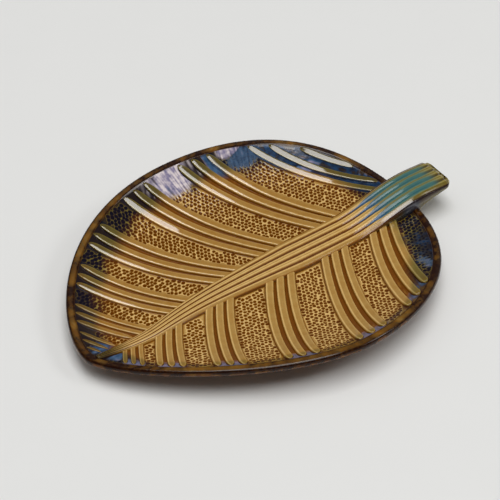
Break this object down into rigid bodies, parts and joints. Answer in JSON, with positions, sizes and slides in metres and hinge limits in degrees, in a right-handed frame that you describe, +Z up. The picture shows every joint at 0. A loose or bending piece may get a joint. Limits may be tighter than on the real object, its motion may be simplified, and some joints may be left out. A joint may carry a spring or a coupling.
{
  "type": "leaf-shaped platter",
  "caption": "Shallow leaf-shaped stoneware platter with a flat lip, a ridged midrib that runs out as a stalk handle, raised vein ribs and a foot ring.",
  "frame": {"origin": "middle of the bounding box at the bottom of the foot ring, where the platter stands", "axes": "+X from the leaf's tip to its stalk, +Y to the broader side of the leaf, +Z up out of the dish"},
  "size_m": [0.317, 0.2364, 0.031],
  "materials": {
    "dish_glaze": "glossy amber-brown reactive glaze, breaking pale on the stipple and blue to black towards the lip",
    "rib_glaze": "glossy honey-tan glaze, thin over the ribs, olive to blue at their outer ends",
    "stalk_glaze": "glossy honey-tan glaze on the midrib, turning olive and teal-blue on the stalk",
    "bare_foot": "bare fired stoneware, wiped free of glaze"
  },
  "bodies": {
    "root": {"far_vein_1_rib_1": "rib_glaze", "far_vein_1_rib_2": "rib_glaze", "far_vein_1_rib_3": "rib_glaze", "far_vein_2_rib_1": "rib_glaze", "far_vein_2_rib_2": "rib_glaze", "far_vein_2_rib_3": "rib_glaze", "far_vein_3_rib_1": "rib_glaze", "far_vein_3_rib_2": "rib_glaze", "far_vein_3_rib_3": "rib_glaze", "far_vein_4_rib_1": "rib_glaze", "far_vein_4_rib_2": "rib_glaze", "far_vein_4_rib_3": "rib_glaze", "far_vein_5_rib_1": "rib_glaze", "far_vein_5_rib_2": "rib_glaze", "far_vein_5_rib_3": "rib_glaze", "far_vein_6_rib_1": "rib_glaze", "far_vein_6_rib_2": "rib_glaze", "far_vein_6_rib_3": "rib_glaze", "far_vein_7_rib_1": "rib_glaze", "far_vein_7_rib_2": "rib_glaze", "far_vein_7_rib_3": "rib_glaze", "foot_ring": "bare_foot", "leaf_dish": "dish_glaze", "midrib_stalk": "stalk_glaze", "near_vein_1_rib_1": "rib_glaze", "near_vein_1_rib_2": "rib_glaze", "near_vein_1_rib_3": "rib_glaze", "near_vein_2_rib_1": "rib_glaze", "near_vein_2_rib_2": "rib_glaze", "near_vein_2_rib_3": "rib_glaze", "near_vein_3_rib_1": "rib_glaze", "near_vein_3_rib_2": "rib_glaze", "near_vein_3_rib_3": "rib_glaze", "near_vein_4_rib_1": "rib_glaze", "near_vein_4_rib_2": "rib_glaze", "near_vein_4_rib_3": "rib_glaze", "near_vein_5_rib_1": "rib_glaze", "near_vein_5_rib_2": "rib_glaze", "near_vein_5_rib_3": "rib_glaze", "near_vein_6_rib_1": "rib_glaze", "near_vein_6_rib_2": "rib_glaze", "near_vein_6_rib_3": "rib_glaze"}
  },
  "joints": []
}
